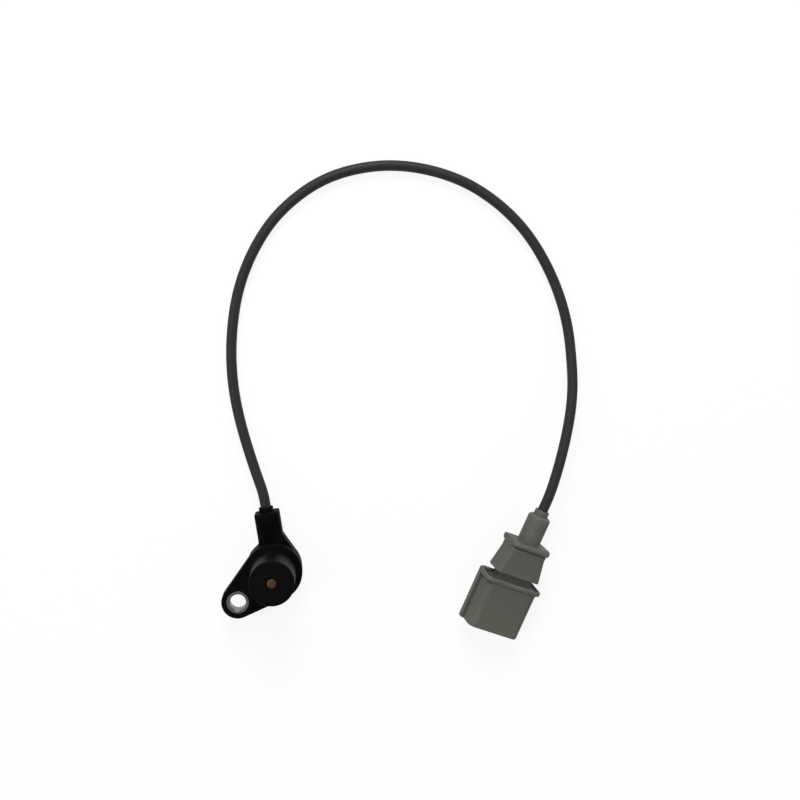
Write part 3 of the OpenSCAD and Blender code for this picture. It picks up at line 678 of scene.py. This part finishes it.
def rim_rows():
    """The rim stands on a hollow foot, which is wider at the sides. Its side is straight, its upper edge
    is a small quarter circle, and inside that edge its top is dished. The edge rises evenly from the
    front to the back, and less at the outer corners."""
    foot = np.radians(np.linspace(0, 60, 7))
    lower = np.radians(np.linspace(-50, 0, 5))
    upper = np.radians(np.linspace(0, 90, 6))
    inset = np.concatenate([
        RIM_FOOT - FOOT_R * (1 - np.cos(foot)),
        RIM_LOWER * (1 - np.cos(lower)),
        RIM_EDGE * (1 - np.cos(upper)),
    ])
    places = RIM_Y + np.concatenate([
        FOOT_R * np.sin(foot) - RIM_LOWER,
        RIM_LOWER * (1 + np.sin(lower)),
        RIM_T - RIM_EDGE * (1 - np.sin(upper)),
    ])
    foot_wider = np.linspace((RAIL_HALF - SHROUD["half"]) / RIM_FOOT, 1.0, len(foot))
    wider = np.concatenate([foot_wider, np.ones(len(lower) + len(upper))])
    rim = dict(half=RAIL_HALF, low=BACK, high=RIM_HIGH, front=2.6, back=0.6)
    outer = [
        ring_row(y, {**rim, "half": RAIL_HALF - d * side, "high": RIM_HIGH - d, "rail_half": RAIL_HALF})
        for y, d, side in zip(places, inset, wider)
    ]
    # Each row of the dish by its depth below the edge and its distance inside it
    dish = (0.0, 0.4), (0.15, 0.6), (RIM_DISH, 1.0)
    inner = [ring_row(RIM_Y + RIM_T - depth, rim, RIM_EDGE + inside) for depth, inside in dish]
    rows = np.array(outer + inner)
    lift = np.clip((rows[:, :1, 1] - RIM_Y) / RIM_T, 0.0, 1.0)
    lift[-1] = 0.0
    corner = np.clip(RIM_CORNER_LEAST + (RAIL_HALF - np.abs(rows[:, :, 0])) / RIM_CORNER_RUN, 0.0, 1.0)
    rows[:, :, 1] += lift * corner * RIM_RISE * (RIM_HIGH - rows[:, :, 2]) / (RIM_HIGH - BACK)
    return list(rows)


def catch_rows():
    """The catch on the back: a ramp from the open end up to its height, and a steep end."""
    stop = CATCH_END + CATCH_DROP
    places = [CATCH_START, *np.linspace(CATCH_START + CATCH_FIRST, CATCH_TOP, 6), CATCH_END, stop]
    rise = np.interp(places, [CATCH_START, CATCH_TOP, CATCH_END, stop], [0, CATCH_H, CATCH_H, 0])
    return [ring_row(y, {**SHROUD, "catch": h}) for y, h in zip(places, rise)]


neck_foot = WEDGE_Y - GROOVE_W - RIM_DISH
sleeve, collar, bore = round_bar(SLEEVE_R), round_bar(COLLAR_OUT_R), round_bar(bore_r)
plug_rows = [
    # From the carrier out of the socket, and round its mouth
    ring_row(CARRIER_BACK, CARRIER),
    ring_row(SOCKET_DEPTH, CARRIER),
    *edge_rows(SOCKET, SOCKET_DEPTH - INNER_EDGE, INNER_EDGE, 90, 0),
    *edge_rows(SOCKET, SMALL_EDGE, SMALL_EDGE, 0, -90, hollow=True),
    # Up the shroud and over its rim
    *edge_rows(SHROUD, OUTER_EDGE, OUTER_EDGE, -90, 0),
    *catch_rows(),
    ring_row(RIM_Y - CHANNEL_STOP, SHROUD),
    ring_row(RIM_Y - CHANNEL_FLUSH, {**SHROUD, "channel": 0.0}),
    *rim_rows(),
    # The bracket's groove and the wedge
    *edge_rows(NECK, neck_foot + SMALL_EDGE, SMALL_EDGE, -90, 0, hollow=True),
    *edge_rows(NECK, WEDGE_Y - SMALL_EDGE, SMALL_EDGE, 0, 90, hollow=True),
    *edge_rows(wedge, WEDGE_Y + OUTER_EDGE, OUTER_EDGE, -90, 0),
    ring_row(WEDGE_MIDDLE, wedge),
    *[ring_row(y, wedge) for y in np.linspace(LIP_Y - SWEEP, LIP_Y - WEDGE_STOP, 9)],
    *edge_rows(wedge, LIP_Y - SMALL_EDGE, SMALL_EDGE, 0, 60, hollow=True),
    *lip_rows(),
    # The sleeve, its collar and the lead's bore
    *edge_rows(sleeve, LIP_Y + LIP_T + SLEEVE_FOOT, SLEEVE_FOOT, -90, 0, hollow=True),
    *edge_rows(sleeve, SLEEVE_END - SLEEVE_BEVEL, SMALL_EDGE, 0, 45, 4),
    ring_row(SLEEVE_END - SLEEVE_LAST, round_bar(SLEEVE_R - SLEEVE_BEVEL_IN)),
    *edge_rows(collar, SLEEVE_END + SMALL_EDGE, SMALL_EDGE, -90, 0, hollow=True),
    *edge_rows(collar, COLLAR_END - SMALL_EDGE, SMALL_EDGE, 0, 90),
    ring_row(COLLAR_END, round_bar(LEAD_D / 2 + BORE_EDGE)),
    ring_row(COLLAR_END - BORE_EDGE, bore),
    ring_row(PLUG_MOUTH[1] - LEAD_GRIP - BORE_EDGE, bore),
]
plug_mesh = grid_mesh("plug_moulding", at_plug(np.array(plug_rows)))
plug_moulding = dress("plug_moulding", plug_mesh, "plug_body", "plug_grey")
print("plug grid", np.array(plug_rows).shape[:2])

# %% [markdown]

# %% [markdown]
# ## Finishes
# Moulded plastic is never one flat colour. It has a fine spark-eroded grain and slow changes of tone
# where the melt flowed. On top of that, its edges get a painted highlight and its hollows painted shade.
# Pieces share those effects, so each is a node group with named sockets, placed in a finish with that
# finish's own values.

# %% Helpers for nodes
def add_node(tree, kind, inputs, **settings):
    """A node with its settings. Each named input gets a value or a link from another node's socket."""
    made = tree.nodes.new(kind)
    for name, value in settings.items():
        setattr(made, name, value)
    for name, value in inputs.items():
        if isinstance(value, bpy.types.NodeSocket):
            tree.links.new(value, made.inputs[name])
        else:
            made.inputs[name].default_value = value
    return made


def maths(tree, operation, *values):
    """The result of a Math node on up to three numbers or sockets."""
    return add_node(tree, "ShaderNodeMath", dict(enumerate(values)), operation=operation).outputs["Value"]


def blend(tree, share, first, second):
    """The colour that lies between two others at a share. A colour is three numbers or a socket."""
    a, b = (c if isinstance(c, bpy.types.NodeSocket) else (*c, 1.0) for c in (first, second))
    mix = add_node(tree, "ShaderNodeMix", {"Factor": share, "A": a, "B": b}, data_type="RGBA")
    return mix.outputs["Result"]


def spread(tree, value, low, high):
    """A value between nought and one carried evenly to a range."""
    inputs = {"Value": value, "To Min": low, "To Max": high}
    return add_node(tree, "ShaderNodeMapRange", inputs).outputs["Result"]


def bumped(tree, height, depth_mm, strength):
    """Normals tilted by a height that stands for a depth in mm."""
    inputs = {"Height": height, "Distance": depth_mm * MM, "Strength": strength}
    return add_node(tree, "ShaderNodeBump", inputs).outputs["Normal"]


def new_group(name, inputs, outputs):
    """An empty node group with named sockets, and its input and output nodes."""
    group = bpy.data.node_groups.new(name, "ShaderNodeTree")
    for label, kind in inputs.items():
        group.interface.new_socket(label, in_out="INPUT", socket_type=f"NodeSocket{kind}")
    for label, kind in outputs.items():
        group.interface.new_socket(label, in_out="OUTPUT", socket_type=f"NodeSocket{kind}")
    return group, group.nodes.new("NodeGroupInput"), group.nodes.new("NodeGroupOutput")


def mark_crests(piece):
    """Attribute 'crest': how far each point stands out from its neighbours. The unit vectors to the
    neighbours are averaged, and their share against the normal is the sharpness of the edge there,
    above nought on an edge and below it in a hollow."""
    mesh = piece.data
    points = np.empty(len(mesh.vertices) * 3)
    mesh.vertices.foreach_get("co", points)
    points = points.reshape(-1, 3)
    normals = np.array([n.vector for n in mesh.vertex_normals])
    edges = np.empty(len(mesh.edges) * 2, int)
    mesh.edges.foreach_get("vertices", edges)
    edges = edges.reshape(-1, 2)
    gap = points[edges[:, 1]] - points[edges[:, 0]]
    gap /= np.maximum(np.linalg.norm(gap, axis=1, keepdims=True), TINY)
    total, count = np.zeros_like(points), np.zeros(len(points))
    np.add.at(total, edges[:, 0], gap)
    np.add.at(total, edges[:, 1], -gap)
    np.add.at(count, edges.ravel(), 1.0)
    crest = -np.einsum("ij,ij->i", total, normals) / np.maximum(count, 1.0)
    layer = mesh.attributes.new("crest", "FLOAT", "POINT")
    layer.data.foreach_set("value", crest.astype(np.float32))
    return float(crest.max())


for piece in (head_moulding, plug_moulding):
    print(piece.name, "sharpest crest", round(mark_crests(piece), 2))

# %% Shared groups
grain_group, grain_in, grain_out = new_group(
    "mould_grain",
    {"Vector": "Vector", "Grains": "Float", "Patches": "Float"},
    {"Height": "Float", "Tone": "Float"},
)
place_in = grain_in.outputs["Vector"]
fine = add_node(grain_group, "ShaderNodeTexNoise", {
    "Vector": place_in, "Scale": grain_in.outputs["Grains"], "Detail": 2.0, "Roughness": 0.6,
})
slow = add_node(grain_group, "ShaderNodeTexNoise", {
    "Vector": place_in, "Scale": grain_in.outputs["Patches"], "Detail": 3.0, "Roughness": 0.55,
})
grain_group.links.new(fine.outputs["Fac"], grain_out.inputs["Height"])
grain_group.links.new(slow.outputs["Fac"], grain_out.inputs["Tone"])

# Painted light on edges: sharp crests get a painted highlight, broken up by the slow tone, and hollows get
# painted shade
edge_light_group, edge_light_in, edge_light_out = new_group(
    "rubbed_edge", {"Crest": "Float", "Tone": "Float"}, {"Mask": "Float", "Hollow": "Float"}
)
lit = add_node(edge_light_group, "ShaderNodeMapRange", {
    "Value": edge_light_in.outputs["Crest"], "From Min": 0.015, "From Max": 0.075,
})
patchy = add_node(edge_light_group, "ShaderNodeMapRange", {
    "Value": edge_light_in.outputs["Tone"], "From Min": 0.3, "From Max": 0.7, "To Min": 0.4, "To Max": 1.0,
})
highlighted = maths(edge_light_group, "MULTIPLY", lit.outputs["Result"], patchy.outputs["Result"])
hollow = add_node(edge_light_group, "ShaderNodeMapRange", {
    "Value": edge_light_in.outputs["Crest"], "From Min": -0.02, "From Max": -0.15,
})
edge_light_group.links.new(highlighted, edge_light_out.inputs["Mask"])
edge_light_group.links.new(hollow.outputs["Result"], edge_light_out.inputs["Hollow"])
print("groups", grain_group.name, edge_light_group.name)

# %% Moulded finishes
PER_M = 1000.0
ROUGH_SPREAD = 0.06
GRAIN_STRENGTH = 0.6
# How dark the painted shade in hollows is, as a share of the dark tone
PAINTED_SHADE_SHARE = 0.5
POLISH_STOP = 0.6


def start_finish(name):
    """A new material and its empty node tree."""
    material = bpy.data.materials.new(name)
    material.use_nodes = True
    material.node_tree.nodes.clear()
    return material, material.node_tree


def close_finish(tree, shader):
    """The shader goes to the material's surface."""
    out = tree.nodes.new("ShaderNodeOutputMaterial")
    tree.links.new(shader.outputs["BSDF"], out.inputs["Surface"])


def placed_grain(tree, place, grain_mm, patch_mm):
    """Outputs of the grain group at a place, for grains and patches of the given sizes."""
    sizes = {"Vector": place, "Grains": PER_M / grain_mm, "Patches": PER_M / patch_mm}
    return add_node(tree, "ShaderNodeGroup", sizes, node_tree=grain_group).outputs


def moulded_finish(
    name, dark, light, rough, grain_mm, patch_mm, depth_mm, shine=0.5, edge_highlight=None, polish=None, open_end_tone=None
):
    """Plastic or rubber: two tones mixed by slow patches, a fine grain as bump, and, where an edge tone is
    given, a painted highlight on edges and painted shade in hollows. Polish gives the two heights in mm
    between which the tool was smooth, and the roughness there. An end tone comes with two places along Y
    in mm: between them the colour turns to that tone, all the way there at the second place."""
    material, tree = start_finish(name)
    place = tree.nodes.new("ShaderNodeTexCoord").outputs["Object"]
    where = add_node(tree, "ShaderNodeSeparateXYZ", {"Vector": place}).outputs
    grain = placed_grain(tree, place, grain_mm, patch_mm)
    colour = blend(tree, grain["Tone"], dark, light)
    # Towards the socket's open end the colour turns to the given tone
    if open_end_tone:
        tone, start, stop = open_end_tone
        open_end_share = add_node(tree, "ShaderNodeMapRange", {
            "Value": where["Y"], "From Min": start * MM, "From Max": stop * MM,
        })
        colour = blend(tree, open_end_share.outputs["Result"], colour, tone)
    # Painted highlight on the crests and painted shade in the hollows
    if edge_highlight:
        crest = add_node(tree, "ShaderNodeAttribute", {}, attribute_name="crest").outputs["Fac"]
        edge_light_inputs = {"Crest": crest, "Tone": grain["Tone"]}
        mask = add_node(tree, "ShaderNodeGroup", edge_light_inputs, node_tree=edge_light_group).outputs
        colour = blend(tree, mask["Mask"], colour, edge_highlight)
        # Painted shade in the hollows
        colour = blend(tree, mask["Hollow"], colour, [PAINTED_SHADE_SHARE * level for level in dark])
    roughness = spread(tree, grain["Tone"], rough - ROUGH_SPREAD, rough + ROUGH_SPREAD)
    if polish:
        low, high, smooth = polish
        inside = maths(tree, "COMPARE", where["Z"], (low + high) / 2 * MM, (high - low) / 2 * MM)
        roughness = spread(tree, inside, roughness, smooth)
    normal = bumped(tree, grain["Height"], depth_mm, GRAIN_STRENGTH)
    shader = add_node(tree, "ShaderNodeBsdfPrincipled", {
        "Base Color": colour, "Roughness": roughness, "Normal": normal, "Specular IOR Level": shine,
    })
    close_finish(tree, shader)
    return material


# The edge tones of the housing and the plug are painted highlights, and their hollows take painted shade
MOULDED = {
    "housing_black": dict(
        dark=(0.0015, 0.0015, 0.0016), light=(0.0024, 0.0024, 0.0025), rough=0.66, grain_mm=0.25,
        patch_mm=9.0, depth_mm=0.012, shine=0.05, edge_highlight=(0.004, 0.004, 0.004),
        polish=(NOSE_FOOT, NOSE_TIP - POLISH_STOP, 0.5),
    ),
    "plug_grey": dict(
        dark=(0.105, 0.104, 0.09), light=(0.119, 0.118, 0.104), rough=0.55, grain_mm=0.3,
        patch_mm=11.0, depth_mm=0.014, shine=0.2, edge_highlight=(0.16, 0.158, 0.145),
        open_end_tone=((0.124, 0.12, 0.1), 29.0, 15.0),
    ),
    "ring_rubber": dict(
        dark=(0.002, 0.002, 0.002), light=(0.004, 0.004, 0.004), rough=0.75, grain_mm=0.2,
        patch_mm=4.0, depth_mm=0.01, shine=0.05,
    ),
    "spool_plastic": dict(
        dark=(0.5, 0.45, 0.33), light=(0.6, 0.55, 0.42), rough=0.5, grain_mm=0.3,
        patch_mm=5.0, depth_mm=0.01,
    ),
    "core_white": dict(
        dark=(0.66, 0.66, 0.62), light=(0.74, 0.74, 0.7), rough=0.35, grain_mm=0.3,
        patch_mm=3.0, depth_mm=0.005,
    ),
    "core_blue": dict(
        dark=(0.04, 0.07, 0.26), light=(0.06, 0.1, 0.33), rough=0.35, grain_mm=0.3,
        patch_mm=3.0, depth_mm=0.005,
    ),
    "carrier_black": dict(
        dark=(0.012, 0.012, 0.012), light=(0.022, 0.022, 0.022), rough=0.5, grain_mm=0.25,
        patch_mm=5.0, depth_mm=0.01,
    ),
}
finishes = {name: moulded_finish(name, **look) for name, look in MOULDED.items()}
print("moulded finishes", sorted(finishes))

# %% [markdown]
# The lead's jacket is extruded, so its marks run along it. Its UV map is in metres. Stretching a noise
# far along U draws faint lines, and a second, rounder noise gives the dusty bloom of the jacket.

# %% Jacket finish
STREAKS_PER_M = (40.0, 1600.0, 1.0)
BLOOM_LIFT = 0.2


def jacket_finish(name, dark, light, rough, grain_mm, patch_mm, depth_mm, shine):
    """Extruded jacket: long streaks along U from a stretched noise, and a fine bloom all over. Rough
    gives the least and the most roughness."""
    material, tree = start_finish(name)
    lengths = add_node(tree, "ShaderNodeUVMap", {}, uv_map="lengths").outputs["UV"]
    stretched = add_node(tree, "ShaderNodeMapping", {"Vector": lengths, "Scale": STREAKS_PER_M})
    streaks = add_node(tree, "ShaderNodeTexNoise", {
        "Vector": stretched.outputs["Vector"], "Scale": 1.0, "Detail": 3.0, "Roughness": 0.55,
    }).outputs["Fac"]
    place = tree.nodes.new("ShaderNodeTexCoord").outputs["Object"]
    bloom = placed_grain(tree, place, grain_mm, patch_mm)
    tone = maths(tree, "MULTIPLY_ADD", streaks, bloom["Tone"], BLOOM_LIFT)
    height = maths(tree, "ADD", streaks, bloom["Height"])
    shader = add_node(tree, "ShaderNodeBsdfPrincipled", {
        "Base Color": blend(tree, tone, dark, light),
        "Roughness": spread(tree, bloom["Tone"], *rough),
        "Normal": bumped(tree, height, depth_mm, GRAIN_STRENGTH),
        "Specular IOR Level": shine,
    })
    close_finish(tree, shader)
    return material


finishes["lead_jacket"] = jacket_finish(
    "lead_jacket", dark=(0.0145, 0.0145, 0.0145), light=(0.0255, 0.0255, 0.0255), rough=(0.5, 0.63),
    grain_mm=0.25, patch_mm=14.0, depth_mm=0.015, shine=0.32,
)

# %% [markdown]
# Turned metal keeps the fine rings of the tool. Distance from the piece's own axis gives them: a
# Mapping node moves the axis to the middle, the length of X and Y is the radius, and its sine is a
# groove. The same rings stand for the turns of the winding. Stamped metal and the magnet have none,
# only the slow change of tone of their tin or oxide.

# %% Metal finishes
METAL_GRAIN_MM, METAL_DEPTH_MM = 0.2, 0.004
METAL_STRENGTH, METAL_ROUGH_SPREAD = 0.5, 0.08
ring_group, ring_in, ring_out = new_group(
    "tool_rings", {"Vector": "Vector", "Rings": "Float"}, {"Height": "Float"}
)
flat = add_node(ring_group, "ShaderNodeVectorMath", {
    0: ring_in.outputs["Vector"], 1: (1.0, 1.0, 0.0),
}, operation="MULTIPLY")
radius = add_node(ring_group, "ShaderNodeVectorMath", {0: flat.outputs["Vector"]}, operation="LENGTH")
phase = maths(ring_group, "MULTIPLY", radius.outputs["Value"], ring_in.outputs["Rings"])
ring_group.links.new(maths(ring_group, "SINE", phase), ring_out.inputs["Height"])


def metal_finish(name, dark, light, rough, patch_mm, rings_mm=None, axis=(0.0, 0.0)):
    """Metal: two tones by slow patches, with tool rings about an axis where it was turned."""
    material, tree = start_finish(name)
    place = tree.nodes.new("ShaderNodeTexCoord").outputs["Object"]
    grain = placed_grain(tree, place, METAL_GRAIN_MM, patch_mm)
    height = grain["Height"]
    if rings_mm:
        centred = add_node(tree, "ShaderNodeMapping", {
            "Vector": place, "Location": (-axis[0], -axis[1], 0.0),
        })
        rings = add_node(tree, "ShaderNodeGroup", {
            "Vector": centred.outputs["Vector"], "Rings": 2 * np.pi * PER_M / rings_mm,
        }, node_tree=ring_group)
        height = maths(tree, "ADD", height, rings.outputs["Height"])
    shader = add_node(tree, "ShaderNodeBsdfPrincipled", {
        "Base Color": blend(tree, grain["Tone"], dark, light),
        "Roughness": spread(tree, grain["Tone"], rough - METAL_ROUGH_SPREAD, rough + METAL_ROUGH_SPREAD),
        "Normal": bumped(tree, height, METAL_DEPTH_MM, METAL_STRENGTH),
        "Metallic": 1.0,
    })
    close_finish(tree, shader)
    return material


METALS = {
    "bush_metal": dict(
        dark=(0.15, 0.15, 0.147), light=(0.25, 0.25, 0.245), rough=0.38, patch_mm=2.5, rings_mm=0.3,
        axis=mounts["fixing_hole"]["pos_m"][:2],
    ),
    "pole_bronze": dict(
        dark=(0.05, 0.028, 0.018), light=(0.19, 0.115, 0.08), rough=0.5, patch_mm=1.1, rings_mm=0.35,
    ),
    "magnet_grey": dict(dark=(0.09, 0.09, 0.1), light=(0.15, 0.15, 0.16), rough=0.55, patch_mm=2.0),
    "winding_copper": dict(
        dark=(0.4, 0.15, 0.06), light=(0.58, 0.25, 0.11), rough=0.4, patch_mm=1.0, rings_mm=0.2,
    ),
    "terminal_brass": dict(dark=(0.5, 0.35, 0.14), light=(0.66, 0.48, 0.22), rough=0.35, patch_mm=1.5),
    "contact_tin": dict(dark=(0.5, 0.49, 0.46), light=(0.68, 0.66, 0.62), rough=0.34, patch_mm=1.8),
}
finishes.update({name: metal_finish(name, **look) for name, look in METALS.items()})
print("finishes", len(finishes))

# %% Put the finishes on
slot_of = {part["node"]: part["material_slot"] for part in frame["record"]["subparts"]}
for node, thing in frame["nodes"].items():
    thing.data.materials.clear()
    thing.data.materials.append(finishes[slot_of[node]])
for piece, slot in dressed.items():
    piece.data.materials.clear()
    piece.data.materials.append(finishes[slot])
print("dressed", len(frame["nodes"]) + len(dressed), "pieces")

# %% [markdown]
# ## Table and light
# The object lies on a white table that fills the picture. To the camera and to reflections the table
# is white mostly by emission. The rest of its brightness is light that falls on it, so that it keeps a
# soft shadow. Wide lamps stand all round, about half-way up, and the sky straight above is dim, so that
# the flat tops of dark mouldings stay dark while their sides pick up the white of the table.

# %% Table
FLOOR_HALF = 1.5
TABLE_GLOW, TABLE_GREY = 0.87, 0.15
WHITE = (1.0, 1.0, 1.0, 1.0)
floor_z = (TABLE - STEP) * MM
floor_corners = [(x * FLOOR_HALF, y * FLOOR_HALF, floor_z) for x, y in ((-1, -1), (1, -1), (1, 1), (-1, 1))]
floor_mesh = bpy.data.meshes.new("table_top")
floor_mesh.from_pydata(floor_corners, [], [(0, 1, 2, 3)])
table_top = bpy.data.objects.new("table_top", floor_mesh)
bpy.context.scene.collection.objects.link(table_top)


def seen_ray(tree):
    """One for rays from the camera, from reflections and from glass, nought for the light that falls
    on other things."""
    rays = tree.nodes.new("ShaderNodeLightPath").outputs
    some = maths(tree, "MAXIMUM", rays["Is Camera Ray"], rays["Is Glossy Ray"])
    return maths(tree, "MAXIMUM", some, rays["Is Transmission Ray"])


table_finish, table_tree = start_finish("table_white")
table_glow = maths(table_tree, "MULTIPLY", seen_ray(table_tree), TABLE_GLOW)
table_shader = add_node(table_tree, "ShaderNodeBsdfPrincipled", {
    "Base Color": (TABLE_GREY, TABLE_GREY, TABLE_GREY, 1.0), "Roughness": 0.9, "Specular IOR Level": 0.0,
    "Emission Color": WHITE, "Emission Strength": table_glow,
})
close_finish(table_tree, table_shader)
floor_mesh.materials.append(table_finish)

# %% World and lamps
SKY = 0.22
LAMP_AWAY = 1.1
# Azimuth and elevation in degrees, width in metres and power in watts
LAMPS = {
    "lamp_top": (118, 38, 0.5, 8.5),
    "lamp_left": (203, 50, 0.8, 3.2),
    "lamp_low": (293, 40, 0.8, 1.0),
    "lamp_right": (23, 40, 0.8, 1.5),
}
world = bpy.data.worlds.new("studio")
bpy.context.scene.world = world
world.use_nodes = True
sky_tree = world.node_tree
sky_tree.nodes.clear()
camera_ray = sky_tree.nodes.new("ShaderNodeLightPath").outputs["Is Camera Ray"]
sky_level = spread(sky_tree, camera_ray, SKY, 1.0)
sky = add_node(sky_tree, "ShaderNodeBackground", {"Color": WHITE, "Strength": sky_level})
sky_out = sky_tree.nodes.new("ShaderNodeOutputWorld")
sky_tree.links.new(sky.outputs["Background"], sky_out.inputs["Surface"])

middle = (np.array(cad_box[0]) + np.array(cad_box[1])) / 2


def soft_lamp(name, azimuth, elevation, size, power):
    """A square lamp that looks at the middle of the part from an azimuth and an elevation."""
    a, e = np.radians(azimuth), np.radians(elevation)
    away = np.array([np.cos(a) * np.cos(e), np.sin(a) * np.cos(e), np.sin(e)])
    data = bpy.data.lights.new(name, "AREA")
    data.size, data.energy = size, power
    lamp = bpy.data.objects.new(name, data)
    side = unit(np.cross([0.0, 0.0, 1.0], away))
    lamp_axes = np.stack([side, np.cross(away, side), away], axis=1)
    place = Matrix.Translation((middle + away * LAMP_AWAY).tolist())
    lamp.matrix_world = place @ Matrix(lamp_axes.tolist()).to_4x4()
    bpy.context.scene.collection.objects.link(lamp)


for name, placing in LAMPS.items():
    soft_lamp(name, *placing)
bpy.context.scene.view_settings.view_transform = "Standard"
print("lamps", len(LAMPS))
